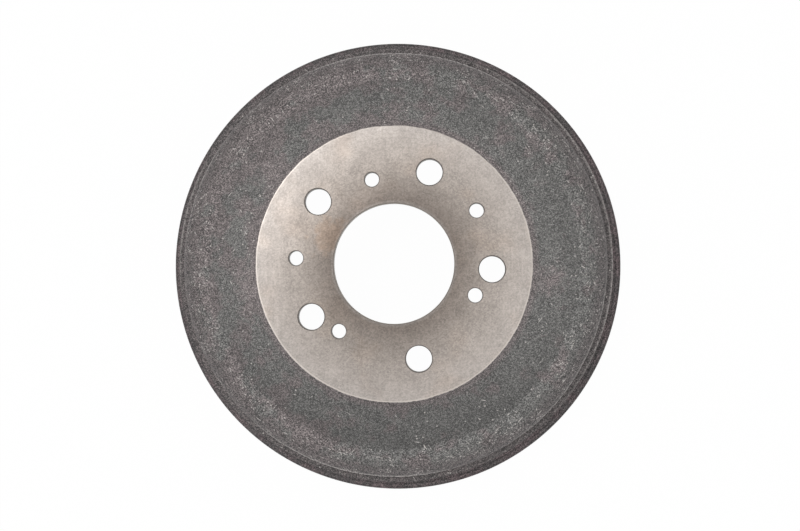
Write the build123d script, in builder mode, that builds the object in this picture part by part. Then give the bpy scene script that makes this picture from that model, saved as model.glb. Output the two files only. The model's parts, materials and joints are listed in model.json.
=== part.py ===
from build123d import *
from math import radians, tan
import os

# Brake drum of a car with five wheel studs: one iron casting, turned on its wheel face, hub seat, centre bore,
# brake surface and open rim. Millimetres. The axis is +Z, the open rim lies on z = 0 and the wheel face is on top.
# The hole pattern is the same on both sides of the YZ plane.

# Hub flange
overall_height = 64.0
flange_thickness = 8.0
bore_radius = 35.1
bore_chamfer = 0.6
wheel_face_radius = 80.5
wheel_face_step = 1.0
wheel_face_root_radius = 1.2
hub_seat_margin = 7.2
hub_seat_step = 0.8

# Holes through the flange
stud_count = 5
stud_circle_radius = 57.15
stud_hole_radius = 7.6
stud_hole_chamfer = 0.5
jack_hole_radius = 4.2
jack_hole_angles = (18, 162)
screw_hole_radius = 4.2
screw_circle_radius = 50.7
screw_hole_angles = (90, 216, 324)
small_hole_chamfer = 0.4

# Dished web, the low rise at its edge, and the rounded shoulder that joins it to the wall
web_thickness = 8.0
web_drop = 8.0
rise_height = 0.6
rise_width = 2.0
rise_radius = 2.0
shoulder_width = 14.5
shoulder_drop = 12.0
shoulder_radius = 23.0

# Step down from the shoulder's crest to the narrow ledge inside the rib's edge
ledge_width = 3.9
ledge_drop = 6.6
ledge_draft = 0.4
ledge_root_radius = 1.0

# Wall, with the turned rib round it
wall_thickness = 10.8
wall_draft_angle = 3.0
rib_height = 4.4
rib_width = 8.0
rib_chamfer = 0.4
rib_root_radius = 2.0

# Brake surface, and the corner above it that stays as cast
friction_radius = 114.3
mouth_chamfer = 1.5
rough_corner_step = 1.2
inside_corner_radius = 4.0

# Open rim, with the groove that takes the edge of the backing plate
rim_overhang = 7.3
rim_thickness = 7.0
rim_land_width = 2.2
rim_land_step = 0.5
rim_chamfer = 0.6
rim_root_radius = 3.0
dust_groove_offset = 10.2
dust_groove_width = 4.6
dust_groove_depth = 3.5
dust_groove_root_radius = 0.8

# Places in the section that follow from the sizes, each a radius and a height
wall_radius = friction_radius + wall_thickness
rib_radius = wall_radius + rib_height
rim_radius = rib_radius + rim_overhang
wheel_face_edge = Vector(wheel_face_radius, overall_height)
web_start = wheel_face_edge + Vector(wheel_face_step, -wheel_face_step)
web_end = Vector(rib_radius - ledge_width - shoulder_width - rise_width, web_start.Y - web_drop)
shoulder_start = web_end + Vector(rise_width, rise_height)
shoulder_crest = shoulder_start + Vector(shoulder_width, -shoulder_drop)
ledge_root = shoulder_crest + Vector(ledge_draft, -ledge_drop)
rib_top = Vector(rib_radius, ledge_root.Y)
rib_bottom = rib_top - Vector(0, rib_width)
rib_root = rib_bottom - Vector(rib_height, rib_height / 2)
wall_foot = Vector(wall_radius + (rib_root.Y - rim_thickness) * tan(radians(wall_draft_angle)), rim_thickness)
rim_land = Vector(rim_radius - rim_land_width, rim_thickness)
rim_corner = Vector(rim_radius, rim_thickness - rim_land_step)
rim_foot = Vector(rim_radius, 0)

hub_seat_edge = Vector(stud_circle_radius + stud_hole_radius + hub_seat_margin, overall_height - flange_thickness)
hub_seat_foot = hub_seat_edge + Vector(hub_seat_step, hub_seat_step)
inside_corner = Vector(friction_radius - rough_corner_step, web_end.Y - web_thickness)
rough_corner_end = inside_corner - Vector(0, inside_corner_radius)
friction_top = rough_corner_end + Vector(rough_corner_step, -rough_corner_step)
friction_bottom = Vector(friction_radius, mouth_chamfer)
mouth_edge = Vector(friction_radius + mouth_chamfer, 0)

with BuildPart() as brake_drum:
    # Outside of the casting, from the wheel face over the shoulder and down to the open rim
    with BuildSketch(Plane.XZ) as outside:
        with BuildLine():
            Polyline((0, 0), (0, overall_height), wheel_face_edge, web_start, web_end, shoulder_start)
            RadiusArc(shoulder_start, shoulder_crest, shoulder_radius)
            Polyline(shoulder_crest, ledge_root, rib_top, rib_bottom, rib_root, wall_foot)
            Polyline(wall_foot, rim_land, rim_land - Vector(0, rim_land_step), rim_corner, rim_foot, (0, 0))
        make_face()
        fillet(outside.vertices().sort_by_distance(web_start)[0], wheel_face_root_radius)
        fillet(outside.vertices().sort_by_distance(web_end)[0], rise_radius)
        fillet(outside.vertices().sort_by_distance(shoulder_start)[0], rise_radius)
        fillet(outside.vertices().sort_by_distance(ledge_root)[0], ledge_root_radius)
        fillet(outside.vertices().sort_by_distance(rib_root)[0], rib_root_radius)
        fillet(outside.vertices().sort_by_distance(wall_foot)[0], rim_root_radius)
        chamfer(outside.vertices().sort_by_distance(rib_top)[0], rib_chamfer)
        chamfer(outside.vertices().sort_by_distance(rib_bottom)[0], rib_chamfer)
        chamfer(outside.vertices().sort_by_distance(rim_corner)[0], rim_chamfer)
        chamfer(outside.vertices().sort_by_distance(rim_foot)[0], rim_chamfer)
    revolve(axis=Axis.Z)

    # Inside: mouth, brake surface, rough corner, underside of the web and hub seat
    with BuildSketch(Plane.XZ) as inside:
        with BuildLine():
            Polyline((0, 0), mouth_edge, friction_bottom, friction_top, rough_corner_end, inside_corner)
            Polyline(inside_corner, hub_seat_foot, hub_seat_edge, (0, hub_seat_edge.Y), (0, 0))
        make_face()
        fillet(inside.vertices().sort_by_distance(inside_corner)[0], inside_corner_radius)
    revolve(axis=Axis.Z, mode=Mode.SUBTRACT)

    # Dust groove, cut into the open rim
    with BuildSketch(Plane.XZ) as dust_groove:
        with Locations((friction_radius + dust_groove_offset, 0)):
            Rectangle(dust_groove_width, dust_groove_depth, align=(Align.MIN, Align.MIN))
        fillet(dust_groove.vertices().group_by(Axis.Y)[-1], dust_groove_root_radius)
    revolve(axis=Axis.Z, mode=Mode.SUBTRACT)

    # Centre bore
    Hole(bore_radius)
    chamfer(edges(Select.LAST).filter_by(GeomType.CIRCLE), bore_chamfer)

    # Stud holes, one of them on the symmetry plane
    with PolarLocations(stud_circle_radius, stud_count, start_angle=-90):
        Hole(stud_hole_radius)
    chamfer(edges(Select.LAST).filter_by(GeomType.CIRCLE), stud_hole_chamfer)

    # Jack holes on the stud circle, each halfway between two studs
    for angle in jack_hole_angles:
        with PolarLocations(stud_circle_radius, 1, start_angle=angle):
            Hole(jack_hole_radius)
        chamfer(edges(Select.LAST).filter_by(GeomType.CIRCLE), small_hole_chamfer)

    # Holes for the screws that hold the drum to the hub while the wheel is off
    for angle in screw_hole_angles:
        with PolarLocations(screw_circle_radius, 1, start_angle=angle):
            Hole(screw_hole_radius)
        chamfer(edges(Select.LAST).filter_by(GeomType.CIRCLE), small_hole_chamfer)

brake_drum.part.label = "brake_drum"

os.makedirs("parts", exist_ok=True)
export_step(brake_drum.part, "parts/brake_drum.step")
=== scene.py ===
from collections import namedtuple
import json
import math

import bmesh
import bpy
from mathutils import Matrix, Vector, noise


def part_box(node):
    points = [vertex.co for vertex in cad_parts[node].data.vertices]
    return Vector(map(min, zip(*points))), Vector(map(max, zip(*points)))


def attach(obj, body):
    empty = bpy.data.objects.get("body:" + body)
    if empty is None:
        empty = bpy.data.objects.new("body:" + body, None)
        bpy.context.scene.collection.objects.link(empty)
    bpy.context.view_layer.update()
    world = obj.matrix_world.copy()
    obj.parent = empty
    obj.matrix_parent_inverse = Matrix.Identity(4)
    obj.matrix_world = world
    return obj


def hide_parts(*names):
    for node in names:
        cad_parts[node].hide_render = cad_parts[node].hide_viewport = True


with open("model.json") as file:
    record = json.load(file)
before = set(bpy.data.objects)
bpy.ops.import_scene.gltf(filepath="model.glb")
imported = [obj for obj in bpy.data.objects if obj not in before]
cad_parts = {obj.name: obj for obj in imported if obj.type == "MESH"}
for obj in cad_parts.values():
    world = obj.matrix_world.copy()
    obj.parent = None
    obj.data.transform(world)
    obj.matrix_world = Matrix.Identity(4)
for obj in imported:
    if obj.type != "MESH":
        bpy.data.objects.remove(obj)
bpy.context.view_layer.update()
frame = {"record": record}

# The drum is built again as a finer mesh of the same form: its section is turned round the axis, and the skin
# that was left as cast is made uneven. Sizes are in millimetres and go to metres when a point is made.
MM = 0.001

# Sizes that the frame gives
mounts = {mount["name"]: mount for mount in frame["record"]["mounts"]}
drum_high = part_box("brake_drum")[1]
overall_height = drum_high.z / MM
rim_radius = drum_high.y / MM
hub_seat_height = mounts["hub_seat"]["pos_m"][2] / MM
bore_radius = mounts["centre_bore"]["dims"]["r_mm"]
friction_radius = mounts["brake_surface"]["dims"]["r_mm"]
friction_middle = mounts["brake_surface"]["pos_m"][2] / MM
friction_length = mounts["brake_surface"]["dims"]["length_mm"]
stud_circle_radius = mounts["stud_holes"]["dims"]["pcd_mm"] / 2
stud_count = mounts["stud_holes"]["dims"]["count"]
stud_hole_radius = mounts["stud_holes"]["dims"]["hole_r_mm"]
small_hole_radius = mounts["jack_holes"]["dims"]["hole_r_mm"]

# Sizes of the section, as the CAD part has them
bore_chamfer = 0.6
stud_hole_chamfer = 0.5
small_hole_chamfer = 0.4
wheel_face_radius = 80.5
wheel_face_step = 1.0
wheel_face_root_radius = 1.2
hub_seat_margin = 7.2
hub_seat_step = 0.8
web_drop = 8.0
rise_height = 0.6
rise_width = 2.0
rise_radius = 2.0
shoulder_width = 14.5
shoulder_drop = 12.0
shoulder_radius = 23.0
ledge_width = 3.9
ledge_drop = 6.6
ledge_draft = 0.4
ledge_root_radius = 1.0
wall_thickness = 10.8
wall_draft_angle = 3.0
rib_height = 4.4
rib_width = 8.0
rib_root_radius = 2.0
rough_corner_step = 1.2
inside_corner_radius = 4.0
rim_thickness = 7.0
rim_land_width = 2.2
rim_land_step = 0.5
rim_root_radius = 3.0
dust_groove_offset = 10.2
dust_groove_width = 4.6
dust_groove_depth = 3.5
dust_groove_root_radius = 0.8

# How fine the mesh is
segments_round_drum = 520
segments_round_bore = 300
segments_round_stud_hole = 80
segments_round_small_hole = 56
skin_spacing = 1.35
rise_spacing = 0.6
plain_spacing = 6.0
arc_spacing = 0.9
edge_spacing = 0.6
crest_spacing = 1.2
ledge_spacing = 1.0
step_spacing = 0.5
foot_spacing = 1.5
band_spacing = 2.0
inside_spacing = 2.2
seat_ring_inset = 2.0

# The sharpest turn between two faces that is still shaded smooth
smooth_turn = math.radians(32)

# How much of the two largest arcs is rounded, so that each keeps clear of the next corner
shoulder_share = 0.94
inside_corner_share = 0.98

# How softly the section's edges are rounded
face_edge_rounding = 0.25
crest_rounding = 0.4
rib_top_rounding = 0.3
rib_bottom_rounding = 0.4
rim_land_rounding = 0.15
rim_edge_rounding = 0.6
turned_edge_rounding = 0.2
friction_edge_rounding = 0.3
friction_end_rounding = 0.1
seat_foot_rounding = 0.5

# How uneven the cast skin is, and the edge where the turned wheel face cuts it
skin_height = 0.16
skin_wave = 5.5
skin_fine_height = 0.07
skin_fine_wave = 2.9
runout_height = 0.18
runout_wave = 70.0
ragged_height = 0.2
ragged_wave = 7.0
ragged_fine_height = 0.14
ragged_fine_wave = 2.2
face_edge_reach = 0.8
crest_reach = 1.8
rib_edge_reach = 1.2
face_dent_angle = 76.0
face_dent_width = 5.0
face_dent_depth = 0.3
face_notch_angle = 81.0
face_notch_width = 0.9
face_notch_depth = 0.35

# The photograph's frame, in pixels, and what it shows of the wheel face
photo_width = 800
photo_height = 531
stud_circle_px = 98.42
axis_px = Vector((393.87, 263.65))
pattern_turn = math.radians(14.743)

# Stains on the drum: where the photograph shows them, and how far they reach in millimetres
face_stain_px = Vector((330, 236))
face_stain_reach = 15.0
web_stains_px = (Vector((552, 280)), Vector((270, 172)), Vector((247, 285)))
web_stain_reach = 13.0

# Where one look of the iron gives way to the next: the radius where it starts and the radius where it is done
bore_wall_ends = (36.0, 40.0)
face_lightens = (34.0, 84.0)
face_grain_softens = (58.0, 70.0)
marks_deepen = (84.0, 112.0)
skin_begins = (82.0, 86.0)
web_darkens = (92.0, 106.0)
web_cools = (102.0, 112.0)
web_ends = (106.0, 112.0)
shoulder_begins = (105.0, 112.0)
# Where the shoulder starts, its skin is lightened as a painted highlight, and towards the crest it is
# darkened as painted shade
shoulder_painted_highlight = (107.5, 110.5)
shoulder_painted_shade = (112.0, 124.0)
crest_browns = (116.0, 123.0)
crest_coarsens = (120.0, 125.0)

# The heights between which the wall's plain skin gives way to the shoulder's marked one
shoulder_is_above = (36.0, 42.0)

# The skin's marks, in millimetres, and the directions of its scratches
sand_size = 0.46
speck_size = 1.2
scratch_length = 11.0
scratch_width = 0.6
scratch_turns = (0.6, -0.9, 1.9, 2.7)

# The studio: how strongly its white lights the drum, and how much the floor glows and how far it reaches
studio_light = 0.68
floor_glow = 0.98
floor_reach = 6000.0

# Where the camera stood: its height over the wheel face, and its place beside the drum's axis
camera_height = 1000.0
camera_right = 35.2
camera_up = -21.3
sensor_width = 36.0


def section_places():
    """Corners of the drum's section, each a radius and a height."""
    places = {}
    rib_radius = friction_radius + wall_thickness + rib_height
    places["face_edge"] = Vector((wheel_face_radius, overall_height))
    places["web_start"] = places["face_edge"] + Vector((wheel_face_step, -wheel_face_step))
    web_end_radius = rib_radius - ledge_width - shoulder_width - rise_width
    places["web_end"] = Vector((web_end_radius, places["web_start"].y - web_drop))
    places["shoulder_start"] = places["web_end"] + Vector((rise_width, rise_height))
    places["crest"] = places["shoulder_start"] + Vector((shoulder_width, -shoulder_drop))
    places["ledge_root"] = places["crest"] + Vector((ledge_draft, -ledge_drop))
    places["rib_top"] = Vector((rib_radius, places["ledge_root"].y))
    places["rib_bottom"] = places["rib_top"] - Vector((0, rib_width))
    places["rib_root"] = places["rib_bottom"] - Vector((rib_height, rib_height / 2))
    wall_spread = (places["rib_root"].y - rim_thickness) * math.tan(math.radians(wall_draft_angle))
    places["wall_foot"] = Vector((friction_radius + wall_thickness + wall_spread, rim_thickness))
    places["rim_land"] = Vector((rim_radius - rim_land_width, rim_thickness))
    places["rim_corner"] = Vector((rim_radius, rim_thickness - rim_land_step))
    places["rim_foot"] = Vector((rim_radius, 0))
    groove_inner = friction_radius + dust_groove_offset
    places["groove_outer"] = Vector((groove_inner + dust_groove_width, 0))
    places["groove_inner"] = Vector((groove_inner, 0))
    friction_low = friction_middle - friction_length / 2
    places["mouth"] = Vector((friction_radius + friction_low, 0))
    places["friction_low"] = Vector((friction_radius, friction_low))
    places["friction_high"] = Vector((friction_radius, friction_middle + friction_length / 2))
    places["corner_low"] = places["friction_high"] + Vector((-rough_corner_step, rough_corner_step))
    places["inside_corner"] = places["corner_low"] + Vector((0, inside_corner_radius))
    seat_radius = stud_circle_radius + stud_hole_radius + hub_seat_margin
    places["seat_edge"] = Vector((seat_radius, hub_seat_height))
    places["seat_foot"] = places["seat_edge"] + Vector((hub_seat_step, hub_seat_step))
    return places


def tangent_corner(start, end, radius):
    """The corner that an arc of this radius rounds off, where the arc runs from start to end."""
    chord = end - start
    half_turn = math.asin(chord.length / 2 / radius)
    outward = Vector((-chord.y, chord.x)).normalized()
    return (start + end) / 2 + outward * (chord.length / 2 * math.tan(half_turn))


def sector(angle, middle, half_width):
    """1 in the middle of a stretch, fading to 0 at its ends. Its middle is given as in the photograph."""
    from_middle = (math.degrees(angle + pattern_turn) - middle + 180) % 360 - 180
    inside = max(0.0, 1 - abs(from_middle) / half_width)
    return min(1.0, 2 * inside)


def stretches(angle, *parts):
    """The strongest of some stretches at an angle. Each part is a middle, a half width and a strength."""
    return max(strength * sector(angle, middle, half_width) for middle, half_width, strength in parts)


def face_edge_wear_and_highlight(angle):
    """The wheel face's edge is bright nearly all round, partly rubbed and partly a painted highlight, and
    dull at the top of the photograph.
    """
    return 1 - stretches(angle, (85, 45, 0.8))


def crest_wear_and_highlight(angle):
    """The shoulder's crest is pale on four stretches, partly rubbed and partly a painted highlight, and dull
    between them.
    """
    least = 0.12
    rubbed = stretches(angle, (87, 34, 1.0), (160, 18, 0.6), (258, 32, 1.0), (332, 30, 0.6))
    return least + (1 - least) * rubbed


def rib_edge_wear_and_highlight(angle):
    """The rib's upper edge is pale on the photograph's right, and less widely on its left, partly rubbed and
    partly a painted highlight.
    """
    return stretches(angle, (15, 60, 0.6), (168, 22, 0.5))


def wear_and_highlight_at(place, edges, angle):
    """How pale the drum is made at a place of the section, from rubbing and a painted highlight: full at a
    pale edge, fading to 0 over its reach.
    """
    return max(edge.wear(angle) * max(0.0, 1 - (place - edge.place).length / edge.reach) for edge in edges)


# A pale edge, partly rubbed and partly a painted highlight: how pale it is by angle, and how far that reaches
# from it
Edge = namedtuple("Edge", "place wear reach")
# A corner's rounding, and the finish and ring spacing of the run that follows it
Corner = namedtuple("Corner", "place rounding finish spacing")
# One ring of the mesh: where it is, how unevenness moves it, and the finish of the faces after it
Ring = namedtuple("Ring", "place push finish")


def rubbed_and_highlit_edges():
    """The edges made pale, partly rubbed by handling and partly as a painted highlight."""
    at = section_places()
    return [
        Edge(at["face_edge"], face_edge_wear_and_highlight, face_edge_reach),
        Edge(at["crest"], crest_wear_and_highlight, crest_reach),
        Edge(at["rib_top"], rib_edge_wear_and_highlight, rib_edge_reach),
    ]


def section_corners():
    """The section's corners, from the wheel face round the outside and the inside to the hub seat."""
    at = section_places()
    shoulder = tangent_corner(at["shoulder_start"], at["crest"], shoulder_radius)
    rim_step = Vector((0, -rim_land_step))
    groove_depth = Vector((0, dust_groove_depth))
    inset = Vector((-seat_ring_inset, 0))
    return [
        Corner(at["face_edge"] - Vector((face_edge_reach, 0)), 0, "face", plain_spacing),
        Corner(at["face_edge"], face_edge_rounding, "skin", edge_spacing),
        Corner(at["web_start"], wheel_face_root_radius, "skin", skin_spacing),
        Corner(at["web_end"], rise_radius, "skin", rise_spacing),
        Corner(at["shoulder_start"], rise_radius, "skin", rise_spacing),
        Corner(shoulder, shoulder_radius * shoulder_share, "skin", rise_spacing),
        Corner(at["crest"], crest_rounding, "skin", crest_spacing),
        Corner(at["ledge_root"], ledge_root_radius, "skin", ledge_spacing),
        Corner(at["rib_top"], rib_top_rounding, "band", band_spacing),
        Corner(at["rib_bottom"], rib_bottom_rounding, "skin", skin_spacing),
        Corner(at["rib_root"], rib_root_radius, "skin", skin_spacing),
        Corner(at["wall_foot"], rim_root_radius, "band", foot_spacing),
        Corner(at["rim_land"], rim_land_rounding, "band", step_spacing),
        Corner(at["rim_land"] + rim_step, rim_land_rounding, "band", ledge_spacing),
        Corner(at["rim_corner"], rim_edge_rounding, "band", band_spacing),
        Corner(at["rim_foot"], rim_edge_rounding, "face", plain_spacing),
        Corner(at["groove_outer"], turned_edge_rounding, "face", foot_spacing),
        Corner(at["groove_outer"] + groove_depth, dust_groove_root_radius, "face", foot_spacing),
        Corner(at["groove_inner"] + groove_depth, dust_groove_root_radius, "face", foot_spacing),
        Corner(at["groove_inner"], turned_edge_rounding, "face", plain_spacing),
        Corner(at["mouth"], turned_edge_rounding, "track", plain_spacing),
        Corner(at["friction_low"], friction_edge_rounding, "track", plain_spacing),
        Corner(at["friction_high"], friction_end_rounding, "track", ledge_spacing),
        Corner(at["corner_low"], friction_edge_rounding, "skin", ledge_spacing),
        Corner(at["inside_corner"], inside_corner_radius * inside_corner_share, "skin", inside_spacing),
        Corner(at["seat_foot"], seat_foot_rounding, "face", edge_spacing),
        Corner(at["seat_edge"], turned_edge_rounding, "face", plain_spacing),
        Corner(at["seat_edge"] + inset, 0, "face", plain_spacing),
    ]


def outward_of(direction):
    """The side of a run that faces out of the iron, where the section is followed as it is listed."""
    return Vector((-direction.y, direction.x))


def push_at_corner(normal, before, after, finish_before, finish_after):
    """How unevenness moves a corner: a skin moves along its normal, and a turned face stays in its plane."""
    if finish_before == "skin" and finish_after == "skin":
        return normal
    if finish_before != "skin" and finish_after != "skin":
        return Vector((0, 0))
    skin, turned = (before, after) if finish_before == "skin" else (after, before)
    return skin - skin.dot(turned) * turned


def corner_rings(corner, before, after, finish_before, spacing):
    """Rings round one corner, from where its rounding starts to where it ends."""
    turn = before.angle_signed(after)
    start_normal, end_normal = outward_of(before), outward_of(after)
    side = -1 if turn > 0 else 1
    reach = corner.rounding * math.tan(abs(turn) / 2)
    centre = corner.place - before * reach + side * start_normal * corner.rounding
    steps = max(2, math.ceil(corner.rounding * abs(turn) / spacing)) if corner.rounding else 0
    rings = []
    for step in range(steps + 1):
        share = step / steps if steps else 0.5
        normal = Matrix.Rotation(-turn * share, 2) @ start_normal
        place = centre - side * normal * corner.rounding
        push = push_at_corner(normal, start_normal, end_normal, finish_before, corner.finish)
        inner_finish = corner.finish if finish_before == "skin" else finish_before
        rings.append(Ring(place, push, corner.finish if step == steps else inner_finish))
    return rings


def section_rings():
    """Every ring of the section, with rounded corners and runs divided at their spacing."""
    corners = section_corners()
    directions = [(b.place - a.place).normalized() for a, b in zip(corners, corners[1:])]
    rounded = []
    for index, corner in enumerate(corners):
        before = directions[max(index - 1, 0)]
        after = directions[min(index, len(directions) - 1)]
        finish_before = corners[max(index - 1, 0)].finish
        rounded.append(corner_rings(corner, before, after, finish_before, arc_spacing))
    rings = []
    for corner, here, following, direction in zip(corners, rounded, rounded[1:], directions):
        rings += here
        start, end = here[-1], following[0]
        run = end.place - start.place
        count = max(1, round(run.length / corner.spacing))
        push = outward_of(direction) if corner.finish == "skin" else Vector((0, 0))
        for step in range(1, count):
            rings.append(Ring(start.place + run * step / count, push, corner.finish))
    return rings + rounded[-1]


def unevenness(point):
    """How far the sand mould moved the skin at a point of the section turned to its angle, in millimetres."""
    height = skin_height * noise.noise(point / skin_wave)
    height += skin_fine_height * noise.noise(point / skin_fine_wave)
    return height + runout_height * noise.noise(point / runout_wave)


def dip(angle, middle, width, depth):
    """A smooth dip in an edge, round a middle angle in degrees."""
    from_middle = (math.degrees(angle) - middle + 180) % 360 - 180
    return depth * math.exp(-((from_middle / width) ** 2))


def ragged_edge(angle):
    """How far the wheel face's edge runs out or in at an angle, in millimetres."""
    round_place = Vector((math.cos(angle), math.sin(angle), 0)) * wheel_face_radius
    height = ragged_height * noise.noise(round_place / ragged_wave)
    height += ragged_fine_height * noise.noise(round_place / ragged_fine_wave)
    height -= dip(angle, face_dent_angle, face_dent_width, face_dent_depth)
    return height - dip(angle, face_notch_angle, face_notch_width, face_notch_depth)


def ring_loop(bm, ring, edges, wear_and_highlight_layer):
    """One ring of the drum as a closed loop of vertices."""
    loop = []
    from_face_edge = abs(ring.place.x - wheel_face_radius - wheel_face_step / 2)
    near_face = max(0.0, 1 - from_face_edge / (2 * wheel_face_step))
    for index in range(segments_round_drum):
        angle = 2 * math.pi * index / segments_round_drum
        radius, height = ring.place
        across = Vector((math.cos(angle), math.sin(angle), 0))
        if ring.push.length:
            move = unevenness(across * radius + Vector((0, 0, height)))
            radius += ring.push.x * move
            height += ring.push.y * move
            if height > overall_height - web_drop / 2:
                radius += near_face * ragged_edge(angle)
        vertex = bm.verts.new((across * radius + Vector((0, 0, height))) * MM)
        vertex[wear_and_highlight_layer] = wear_and_highlight_at(ring.place, edges, angle)
        loop.append(vertex)
    return loop


def circle_loop(bm, centre, radius, height, count):
    """A circle of vertices, level, round a centre."""
    loop = []
    for index in range(count):
        angle = 2 * math.pi * index / count
        place = Vector((centre.x + radius * math.cos(angle), centre.y + radius * math.sin(angle), height))
        loop.append(bm.verts.new(place * MM))
    return loop


def join_loops(bm, first, second, material):
    """A band of quads between two loops of the same count."""
    count = len(first)
    for index in range(count):
        following = (index + 1) % count
        face = bm.faces.new((first[index], first[following], second[following], second[index]))
        face.material_index = material


def fill_flat(bm, loops, material):
    """A flat face inside the first loop, with the other loops as its holes."""
    edges = []
    for loop in loops:
        for index, vertex in enumerate(loop):
            edges.append(bm.edges.get((vertex, loop[(index + 1) % len(loop)])))
    made = bmesh.ops.triangle_fill(bm, use_beauty=True, use_dissolve=False, edges=edges)
    for face in made["geom"]:
        if isinstance(face, bmesh.types.BMFace):
            face.material_index = material


def hole_loops(bm, centre, radius, chamfer, count, material):
    """The wall of a round hole with both edges broken. Gives its loops on the wheel face and on the seat."""
    top = circle_loop(bm, centre, radius + chamfer, overall_height, count)
    wall_top = circle_loop(bm, centre, radius, overall_height - chamfer, count)
    wall_bottom = circle_loop(bm, centre, radius, hub_seat_height + chamfer, count)
    bottom = circle_loop(bm, centre, radius + chamfer, hub_seat_height, count)
    join_loops(bm, top, wall_top, material)
    join_loops(bm, wall_top, wall_bottom, material)
    join_loops(bm, wall_bottom, bottom, material)
    return top, bottom


def holes():
    """Every hole through the flange: its centre, radius, chamfer and how finely it is divided."""
    found = [(Vector((0, 0)), bore_radius, bore_chamfer, segments_round_bore)]
    for index in range(stud_count):
        angle = 2 * math.pi * index / stud_count - math.pi / 2
        centre = stud_circle_radius * Vector((math.cos(angle), math.sin(angle)))
        found.append((centre, stud_hole_radius, stud_hole_chamfer, segments_round_stud_hole))
    small = [Vector(mounts["upper_screw_hole"]["pos_m"][:2]) / MM]
    for name in ("jack_holes", "lower_screw_holes"):
        middle = Vector(mounts[name]["pos_m"][:2]) / MM
        reach = Vector((mounts[name]["dims"]["spacing_x_mm"] / 2, 0))
        small += [middle - reach, middle + reach]
    found += [(centre, small_hole_radius, small_hole_chamfer, segments_round_small_hole) for centre in small]
    return found


def make_drum(materials):
    """The whole casting as one closed mesh."""
    order = list(materials)
    bm = bmesh.new()
    # Paleness at the edges, partly from rubbing and partly a painted highlight
    wear_and_highlight_layer = bm.verts.layers.float.new("wear_and_highlight")
    rings = section_rings()
    edges = rubbed_and_highlit_edges()
    loops = [ring_loop(bm, ring, edges, wear_and_highlight_layer) for ring in rings]
    for ring, first, second in zip(rings, loops, loops[1:]):
        join_loops(bm, first, second, order.index(ring.finish))
    tops, bottoms = [loops[0]], [loops[-1]]
    for centre, radius, chamfer, count in holes():
        top, bottom = hole_loops(bm, centre, radius, chamfer, count, order.index("bore"))
        tops.append(top)
        bottoms.append(bottom)
    fill_flat(bm, tops, order.index("face"))
    fill_flat(bm, bottoms, order.index("face"))
    bmesh.ops.recalc_face_normals(bm, faces=bm.faces)
    mesh = bpy.data.meshes.new("drum_casting")
    bm.to_mesh(mesh)
    bm.free()
    for material in materials.values():
        mesh.materials.append(material)
    mesh.shade_smooth()
    mesh.set_sharp_from_angle(angle=smooth_turn)
    drum = bpy.data.objects.new("drum_casting", mesh)
    bpy.context.scene.collection.objects.link(drum)
    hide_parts("brake_drum")
    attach(drum, "root")
    return drum


def put(tree, kind, settings=None, inputs=None):
    """A new node, with its settings and with a value or a link on each named input."""
    node = tree.nodes.new(kind)
    for key, value in (settings or {}).items():
        setattr(node, key, value)
    for key, value in (inputs or {}).items():
        feed(tree, node.inputs[key], value)
    return node


def feed(tree, socket, value):
    """A link from another node, or a plain value, on one input."""
    if isinstance(value, bpy.types.NodeSocket):
        tree.links.new(value, socket)
    elif socket.type == "RGBA" and len(value) == 3:
        socket.default_value = (*value, 1)
    else:
        socket.default_value = value


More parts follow.
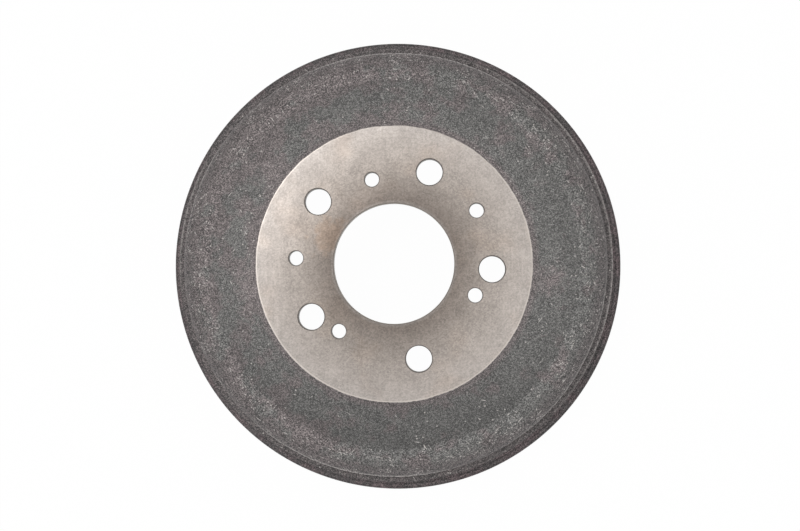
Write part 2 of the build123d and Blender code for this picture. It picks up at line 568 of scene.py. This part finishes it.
class Finish:
    """The node tree of one finish, with short calls for the nodes that the drum's finishes share."""

    def __init__(self, name):
        self.material = bpy.data.materials.new(name)
        self.material.use_nodes = True
        self.tree = self.material.node_tree
        self.shader = self.tree.nodes["Principled BSDF"]
        metres = self.put("ShaderNodeTexCoord").outputs["Object"]
        self.place = self.scaled(metres, 1 / MM)
        x, y, self.height = self.put("ShaderNodeSeparateXYZ", {}, {0: self.place}).outputs
        self.radius = self.math("SQRT", self.plus(self.times(x, x), self.times(y, y)))

    def put(self, kind, settings=None, inputs=None):
        return put(self.tree, kind, settings, inputs)

    def math(self, operation, first, second=0.0):
        return self.put("ShaderNodeMath", {"operation": operation}, {0: first, 1: second}).outputs[0]

    def times(self, first, second):
        return self.math("MULTIPLY", first, second)

    def plus(self, first, second):
        return self.math("ADD", first, second)

    def larger(self, first, second):
        return self.math("MAXIMUM", first, second)

    def span(self, value, low, high, out_low=0.0, out_high=1.0, smooth=True):
        """The value's place between low and high, turned into the same place between the two outputs."""
        settings = {"interpolation_type": "SMOOTHSTEP" if smooth else "LINEAR"}
        inputs = {"Value": value, "From Min": low, "From Max": high, "To Min": out_low, "To Max": out_high}
        return self.put("ShaderNodeMapRange", settings, inputs).outputs["Result"]

    def swing(self, value, out_low, out_high, reach=0.3):
        """Noise spread evenly between two outputs, which it reaches this far from its middle, 0.5."""
        return self.span(value, 0.5 - reach, 0.5 + reach, out_low, out_high, smooth=False)

    def noise(self, wave, detail=2.0, roughness=0.5, place=None):
        """Cloudy noise whose lumps are about one wave apart, in millimetres."""
        inputs = {"Vector": place or self.place, "Scale": 1 / wave, "Detail": detail, "Roughness": roughness}
        return self.put("ShaderNodeTexNoise", {}, inputs).outputs["Fac"]

    def tool_marks(self, along, wave, detail=2.0):
        """Noise that changes along one measure alone: the radius of a flat face, or the height of a wall."""
        inputs = {"W": self.math("DIVIDE", along, wave), "Scale": 1.0, "Detail": detail}
        return self.put("ShaderNodeTexNoise", {"noise_dimensions": "1D"}, inputs).outputs["Fac"]

    def cells(self, wave, place=None):
        """Random cells about one wave across: the distance from each middle, and a random value for each."""
        inputs = {"Vector": place or self.place, "Scale": 1 / wave}
        cells = self.put("ShaderNodeTexVoronoi", {}, inputs).outputs
        chance = self.put("ShaderNodeSeparateColor", {}, {0: cells["Color"]}).outputs[0]
        return cells["Distance"], chance

    def blend(self, share, first, second, kind="MIX"):
        """Two colours mixed by a share, or laid over each other in another way."""
        settings = {"data_type": "RGBA", "blend_type": kind}
        return self.put("ShaderNodeMix", settings, {0: share, 6: first, 7: second}).outputs[2]

    def ramp(self, value, stops):
        """A colour that changes along a value, from stops of (value, colour)."""
        node = self.put("ShaderNodeValToRGB", {}, {0: value})
        elements = node.color_ramp.elements
        for index, (position, colour) in enumerate(stops):
            element = elements[index] if index < 2 else elements.new(position)
            element.position = position
            element.color = (*colour, 1)
        return node.outputs["Color"]

    def scaled(self, vector, factor):
        """A colour made darker or lighter, or a place made larger, by a factor."""
        inputs = {0: vector, "Scale": factor}
        return self.put("ShaderNodeVectorMath", {"operation": "SCALE"}, inputs).outputs[0]

    def wear_and_highlight(self):
        """How pale the mesh is made at its edges, from rubbing and a painted highlight, from 0 to 1."""
        return self.put("ShaderNodeAttribute", {"attribute_name": "wear_and_highlight"}).outputs["Fac"]

    def bump(self, height, depth):
        """Relief on the surface, with its depth in millimetres."""
        inputs = {"Height": height, "Distance": depth * MM, "Strength": 1.0}
        self.set(normal=self.put("ShaderNodeBump", {}, inputs).outputs["Normal"])

    def set(self, **values):
        """Values or links for the shader's own sockets."""
        for key, value in values.items():
            feed(self.tree, self.shader.inputs[key.replace("_", " ").title()], value)


def speck_mask(finish, wave, share, size):
    """Small specks: a random share of the cells holds one, of about the given part of a cell."""
    distance, chance = finish.cells(wave)
    present = finish.math("LESS_THAN", chance, share)
    return finish.times(present, finish.span(distance, size, size * 0.45))


def drawn_out(finish, turn, length, width):
    """Places for a texture drawn out along one direction, so that its lumps have this length and width."""
    inputs = {"Vector": finish.place, "Rotation": (0, 0, turn), "Scale": (length, width, width)}
    return finish.put("ShaderNodeMapping", {"vector_type": "TEXTURE"}, inputs).outputs[0]


def scratch_mask(finish, turn, share):
    """Short thin scratches that all lie one way: a random share of long narrow cells holds one."""
    distance, chance = finish.cells(1.0, drawn_out(finish, turn, scratch_length, scratch_width))
    present = finish.math("LESS_THAN", chance, share)
    return finish.times(present, finish.span(distance, 0.5, 0.25))


def toward(finish, photo_angle):
    """How far a place lies towards one side of the photograph, in millimetres from the axis."""
    angle = math.radians(photo_angle) - pattern_turn
    inputs = {0: finish.place, 1: (math.cos(angle), math.sin(angle), 0)}
    return finish.put("ShaderNodeVectorMath", {"operation": "DOT_PRODUCT"}, inputs).outputs[1]


def near(finish, place_px, reach):
    """1 at a place of the photograph, fading to 0 at a reach in millimetres, with a ragged edge."""
    across, up = place_px.x - axis_px.x, axis_px.y - place_px.y
    turned = Matrix.Rotation(-pattern_turn, 2) @ Vector((across, up)) * (stud_circle_radius / stud_circle_px)
    inputs = {0: finish.place, 1: (*turned, overall_height)}
    away = finish.put("ShaderNodeVectorMath", {"operation": "DISTANCE"}, inputs).outputs[1]
    ragged = finish.swing(finish.noise(5.0, 3.0, 0.65), -0.35 * reach, 0.35 * reach, 0.2)
    return finish.span(finish.plus(away, ragged), reach, 0.25 * reach)


def sand_grain(finish, contrast):
    """The marks of the mould's sand: most grains a little darker than the iron itself, a few much lighter.
    Gives the factor for the colour, and the level of each grain."""
    level = finish.cells(sand_size)[1]
    mean_square = 0.333
    lifted = finish.math("SUBTRACT", finish.times(level, level), mean_square)
    cloud = finish.swing(finish.noise(8.0, 3.0, 0.6), 0.84, 1.16, 0.25)
    return finish.plus(finish.times(lifted, contrast), cloud), level


def skin_levels_with_painted_light(finish):
    """Broad changes of level over the skin: darker towards the web's outer edge, a painted highlight where
    the shoulder starts, painted shade towards the crest, and painted shade on the bottom and top of the web.
    """
    web = finish.span(finish.radius, *web_darkens, 0.97, 0.84)
    # A painted highlight where the shoulder starts, and painted shade as it turns down towards the crest
    start = finish.span(finish.radius, *shoulder_painted_highlight, 1.0, 1.20)
    crest = finish.span(finish.radius, *shoulder_painted_shade, 1.0, 0.70)
    # Painted shade: the web is darker towards the bottom, lighter elsewhere, and a little darker again
    # towards the top
    lower = finish.span(toward(finish, 268), 10.0, 100.0, 1.09, 0.76)
    upper = finish.span(toward(finish, 103), 45.0, 95.0, 1.0, 0.89)
    beside_even = finish.math("SUBTRACT", finish.times(lower, upper), 1.0)
    on_web = finish.span(finish.radius, *web_ends, 1.0, 0.0)
    side = finish.plus(finish.times(beside_even, on_web), 1.0)
    return finish.times(finish.times(web, start), finish.times(crest, side))


def web_stains(finish):
    """How far a place lies inside one of the web's brown stains."""
    stained = 0.0
    for place_px in web_stains_px:
        stained = finish.larger(stained, near(finish, place_px, web_stain_reach))
    return stained


def cool_patches(finish, stained):
    """Cooler patches in the brown skin: more of them on the web and to one side, faint ones at the crest, and
    none in a stain or beside the wheel face."""
    side = finish.times(toward(finish, -30), 0.0008)
    lean = finish.plus(side, finish.span(finish.radius, *web_cools, 0.06, 0.0))
    patches = finish.span(finish.plus(finish.noise(15.0, 3.0, 0.6), lean), 0.43, 0.57)
    outside_face = finish.span(finish.radius, *skin_begins)
    inside_crest = finish.span(finish.radius, *crest_browns, 1.0, 0.25)
    unstained = finish.math("SUBTRACT", 1.0, stained)
    return finish.times(finish.times(patches, finish.times(outside_face, inside_crest)), unstained)


def light_marks(finish, on_shoulder):
    """Light specks and scratches in clouds, most of them on the shoulder, and pale iron at the edges, partly
    rubbed bare and partly a painted highlight.
    """
    cloud = finish.span(finish.noise(12.0, 2.0, 0.6), 0.42, 0.66, 0.1, 2.2)
    speck_share = finish.times(finish.span(on_shoulder, 0.0, 1.0, 0.015, 0.065), cloud)
    light = finish.times(speck_mask(finish, speck_size, speck_share, 0.5), 0.8)
    scratch_share = finish.times(finish.span(on_shoulder, 0.0, 1.0, 0.005, 0.04), cloud)
    strength = finish.span(finish.noise(3.0, 2.0, 0.6), 0.35, 0.65, 0.1, 1.0)
    for turn in scratch_turns:
        light = finish.larger(light, finish.times(scratch_mask(finish, turn, scratch_share), strength))
    edge_breakup = finish.span(finish.noise(1.3, 2.0, 0.7), 0.42, 0.54)
    return finish.larger(light, finish.times(finish.wear_and_highlight(), edge_breakup))


def cast_skin():
    """Dark sand-cast iron: brown-grey with cooler patches, a few stains and a dense grain, lightened and
    darkened by painted light and shade. Light specks and scratches gather on the shoulder, and the edges are
    pale, partly rubbed and partly a painted highlight."""
    finish = Finish("iron_cast_skin")
    brown, cool, pale = (0.161, 0.139, 0.137), (0.1425, 0.1395, 0.134), (0.64, 0.60, 0.57)
    stained = web_stains(finish)
    colour = finish.blend(cool_patches(finish, stained), brown, cool)
    colour = finish.scaled(colour, finish.span(stained, 0.0, 1.0, 1.0, 1.15))
    outside_web = finish.span(finish.radius, *shoulder_begins)
    on_shoulder = finish.times(outside_web, finish.span(finish.height, *shoulder_is_above))
    coarser = finish.span(finish.radius, *crest_coarsens, 1.0, 1.25)
    contrast = finish.times(finish.span(on_shoulder, 0.0, 1.0, 1.8, 2.2), coarser)
    factor, level = sand_grain(finish, contrast)
    colour = finish.scaled(finish.scaled(colour, factor), skin_levels_with_painted_light(finish))
    light = light_marks(finish, on_shoulder)
    finish.bump(finish.plus(level, light), 0.1)
    rough = finish.span(light, 0.0, 0.6, 0.58, 0.42)
    finish.set(base_color=finish.blend(light, colour, pale), roughness=rough)
    return finish.material


def turned_tone_and_painted_light(finish, level):
    """Changes of level on a turned face: marks round the axis, clouds, a fine grain, faint streaks, and
    painted light that makes the face lighter towards one side and darker towards the opposite one.
    """
    marks = finish.swing(finish.tool_marks(finish.radius, 1.4, 3.0), -0.05, 0.05)
    marks = finish.times(marks, finish.span(finish.radius, *marks_deepen, 1.0, 2.4))
    tone = finish.plus(marks, finish.swing(finish.noise(9.0, 3.0, 0.6), 0.88, 1.12))
    tone = finish.plus(tone, finish.swing(finish.noise(2.0, 2.0, 0.6), -0.06, 0.06))
    grain = finish.span(finish.radius, *face_grain_softens, 0.38, 0.28)
    tone = finish.plus(tone, finish.times(finish.math("SUBTRACT", level, 0.5), grain))
    streaks = finish.noise(1.0, 2.0, 0.5, drawn_out(finish, math.pi / 2 - pattern_turn, 18.0, 1.2))
    tone = finish.plus(tone, finish.swing(streaks, -0.04, 0.04, 0.2))
    # Painted light: the face is lighter towards one side and darker towards the opposite one
    return finish.times(tone, finish.span(toward(finish, 75), -75.0, 75.0, 0.93, 1.09, smooth=False))


def rusted(finish, colour):
    """A colour with a rusty tint on it, faint in broad patches and stronger in one stain beside the bore."""
    rust = (1.13, 0.95, 0.80)
    patches = finish.times(finish.span(finish.noise(24.0, 2.0, 0.5), 0.5, 0.75), 0.2)
    stain = finish.times(near(finish, face_stain_px, face_stain_reach), 0.6)
    return finish.blend(finish.larger(patches, stain), colour, finish.blend(1.0, colour, rust, "MULTIPLY"))


def turned_face():
    """Finely turned iron: warm light grey, browner towards the bore as a stain and darker towards it, partly
    as a painted dark reflection, and pale at the edge, partly rubbed and partly a painted highlight.
    """
    finish = Finish("iron_turned_face")
    share = finish.span(finish.radius, *face_lightens, smooth=False)
    # Browner towards the bore as a stain, and darker towards it, partly as a painted dark reflection
    stops = [
        (0.03, (0.165, 0.147, 0.134)),
        (0.07, (0.133, 0.112, 0.098)),
        (0.41, (0.228, 0.201, 0.180)),
        (0.70, (0.288, 0.258, 0.235)),
        (1.0, (0.322, 0.293, 0.272)),
    ]
    pale = (0.62, 0.56, 0.51)
    level = finish.cells(0.7)[1]
    colour = rusted(finish, finish.scaled(finish.ramp(share, stops), turned_tone_and_painted_light(finish, level)))
    # Pale at the edge, partly rubbed and partly a painted highlight
    colour = finish.blend(finish.times(finish.wear_and_highlight(), 0.75), colour, pale)
    finish.bump(finish.plus(finish.tool_marks(finish.radius, 0.45), finish.times(level, 0.5)), 0.012)
    rough = finish.swing(finish.noise(14.0, 2.0, 0.5), 0.37, 0.45, 0.2)
    finish.set(base_color=colour, metallic=0.82, roughness=rough)
    round_axis = finish.put("ShaderNodeTangent", {"direction_type": "RADIAL", "axis": "Z"}).outputs[0]
    finish.set(anisotropic=0.4, anisotropic_rotation=0.25, tangent=round_axis)
    return finish.material


def drilled_wall():
    """Walls of the bore and holes: iron with fine marks round it, lighter in the bore than in the holes."""
    finish = Finish("iron_drilled_wall")
    iron = (0.15, 0.132, 0.118)
    tone = finish.swing(finish.noise(2.5, 3.0, 0.6), 0.8, 1.15)
    tone = finish.times(tone, finish.span(finish.radius, *bore_wall_ends, 1.9, 1.0))
    finish.bump(finish.tool_marks(finish.height, 0.4), 0.02)
    finish.set(base_color=finish.scaled(iron, tone), metallic=0.8, roughness=0.45)
    return finish.material


def dark_band():
    """The turned outside of the rib and rim: nearly black, with fine lines, a grain, a painted lighter side,
    and pale edges, partly rubbed and partly a painted highlight.
    """
    finish = Finish("iron_dark_band")
    black, brown, pale = (0.077, 0.068, 0.068), (0.108, 0.084, 0.086), (0.50, 0.46, 0.44)
    across, upright = finish.tool_marks(finish.radius, 1.1, 3.0), finish.tool_marks(finish.height, 1.1, 3.0)
    lines = finish.plus(across, upright)
    colour = finish.blend(finish.span(finish.noise(9.0, 3.0, 0.6), 0.42, 0.62), black, brown)
    factor, level = sand_grain(finish, 2.2)
    # Painted light: the band is lighter towards the side of the key lamp and a little darker away from it
    side = finish.span(toward(finish, 140), -130.0, 130.0, 1.2, 0.98, smooth=False)
    stripes = finish.span(lines, 0.7, 1.3, 0.5, 1.5, smooth=False)
    colour = finish.scaled(finish.scaled(colour, finish.times(factor, side)), stripes)
    edge_breakup = finish.span(finish.noise(2.2, 3.0, 0.6), 0.32, 0.5, 0.35, 1.0)
    colour = finish.blend(finish.times(finish.wear_and_highlight(), edge_breakup), colour, pale)
    finish.bump(finish.plus(lines, level), 0.04)
    finish.set(base_color=colour, metallic=0.0, roughness=0.6)
    return finish.material


def brake_track():
    """The brake surface: freshly turned, with fine and coarse tool marks round the wall."""
    finish = Finish("iron_brake_track")
    iron = (0.40, 0.37, 0.345)
    marks = finish.plus(finish.tool_marks(finish.height, 0.55), finish.tool_marks(finish.height, 2.6))
    stripes = finish.span(marks, 0.6, 1.4, -0.2, 0.2, smooth=False)
    tone = finish.plus(stripes, finish.swing(finish.noise(18.0, 3.0, 0.6), 0.85, 1.12))
    finish.bump(marks, 0.03)
    finish.set(base_color=finish.scaled(iron, tone), metallic=0.85, roughness=0.38)
    return finish.material


def add_camera():
    """The camera stands over the wheel face, a little beside the axis, and the drum lies as photographed."""
    right = Vector((math.cos(pattern_turn), -math.sin(pattern_turn), 0))
    up = Vector((math.sin(pattern_turn), math.cos(pattern_turn), 0))
    pixels_per_mm = stud_circle_px / stud_circle_radius
    aim_right = (photo_width / 2 - axis_px.x) / pixels_per_mm
    aim_up = (axis_px.y - photo_height / 2) / pixels_per_mm
    aim = (right * aim_right + up * aim_up + Vector((0, 0, overall_height))) * MM
    eye = (right * camera_right + up * camera_up + Vector((0, 0, overall_height + camera_height))) * MM
    forward = (aim - eye).normalized()
    side = forward.cross(up).normalized()
    data = bpy.data.cameras.new("camera")
    data.sensor_width = sensor_width
    data.lens = pixels_per_mm * camera_height * sensor_width / photo_width
    data.clip_start = 0.05
    data.clip_end = 20
    camera = bpy.data.objects.new("camera", data)
    turn = Matrix((side, side.cross(forward), -forward)).transposed()
    camera.matrix_world = Matrix.Translation(eye) @ turn.to_4x4()
    bpy.context.scene.collection.objects.link(camera)
    bpy.context.scene.camera = camera


def seen_share(tree):
    """1 for a ray from the camera, from a glossy surface or through a clear one, and 0 for any other."""
    path = put(tree, "ShaderNodeLightPath").outputs
    share = path["Is Camera Ray"]
    for name in ("Is Glossy Ray", "Is Transmission Ray"):
        share = put(tree, "ShaderNodeMath", {"operation": "MAXIMUM"}, {0: share, 1: path[name]}).outputs[0]
    return share


def white_floor():
    """Pale and matt for the light on the drum, nearly white where it is seen, and clear from below."""
    material = bpy.data.materials.new("white_floor")
    material.use_nodes = True
    tree = material.node_tree
    tree.nodes.clear()
    seen = seen_share(tree)
    levels = {"Value": seen, "To Min": 0.5, "To Max": 0.9}
    colour = put(tree, "ShaderNodeMapRange", {}, levels).outputs["Result"]
    matt = put(tree, "ShaderNodeBsdfDiffuse", {}, {"Color": colour}).outputs[0]
    glow = put(tree, "ShaderNodeEmission").outputs[0]
    glow_share = put(tree, "ShaderNodeMath", {"operation": "MULTIPLY"}, {0: seen, 1: floor_glow}).outputs[0]
    lit = put(tree, "ShaderNodeMixShader", {}, {0: glow_share, 1: matt, 2: glow}).outputs[0]
    below = put(tree, "ShaderNodeNewGeometry").outputs["Backfacing"]
    clear = put(tree, "ShaderNodeBsdfTransparent").outputs[0]
    sided = put(tree, "ShaderNodeMixShader", {}, {0: below, 1: lit, 2: clear}).outputs[0]
    put(tree, "ShaderNodeOutputMaterial", {}, {"Surface": sided})
    return material


def add_floor():
    """A floor that the drum stands on, seen as white with a very faint shadow."""
    reach = floor_reach * MM
    mesh = bpy.data.meshes.new("floor")
    corners = [(-reach, -reach, 0), (reach, -reach, 0), (reach, reach, 0), (-reach, reach, 0)]
    mesh.from_pydata(corners, [], [(0, 1, 2, 3)])
    mesh.materials.append(white_floor())
    floor = bpy.data.objects.new("floor", mesh)
    bpy.context.scene.collection.objects.link(floor)


def add_world():
    """An even white studio. It lights the drum at a lower strength than it is seen at."""
    world = bpy.data.worlds.new("studio")
    bpy.context.scene.world = world
    world.use_nodes = True
    tree = world.node_tree
    background = tree.nodes["Background"]
    background.inputs["Color"].default_value = (1, 1, 1, 1)
    levels = {"Value": seen_share(tree), "To Min": studio_light, "To Max": 1.0}
    strength = put(tree, "ShaderNodeMapRange", {}, levels).outputs["Result"]
    feed(tree, background.inputs["Strength"], strength)


def add_light(name, photo_angle, tilt, distance, size, power):
    """A soft lamp that faces the drum, at an angle in the photograph and a tilt from the drum's axis."""
    angle = math.radians(photo_angle) - pattern_turn
    lean = math.radians(tilt)
    away = Vector((math.sin(lean) * math.cos(angle), math.sin(lean) * math.sin(angle), math.cos(lean)))
    data = bpy.data.lights.new(name, "AREA")
    data.shape = "DISK"
    data.size = size
    data.energy = power
    lamp = bpy.data.objects.new(name, data)
    lamp.location = away * distance + Vector((0, 0, overall_height * MM))
    lamp.rotation_mode = "QUATERNION"
    lamp.rotation_quaternion = away.to_track_quat("Z", "Y")
    bpy.context.scene.collection.objects.link(lamp)


bpy.context.scene.view_settings.view_transform = "Standard"
add_camera()
make_drum({
    "face": turned_face(),
    "skin": cast_skin(),
    "band": dark_band(),
    "track": brake_track(),
    "bore": drilled_wall(),
})
add_floor()
add_world()
add_light("key", photo_angle=147, tilt=17, distance=1.5, size=0.6, power=6.0)
add_light("left_fill", photo_angle=215, tilt=55, distance=1.6, size=0.9, power=1.4)
add_light("right_fill", photo_angle=-35, tilt=55, distance=1.6, size=0.9, power=1.4)
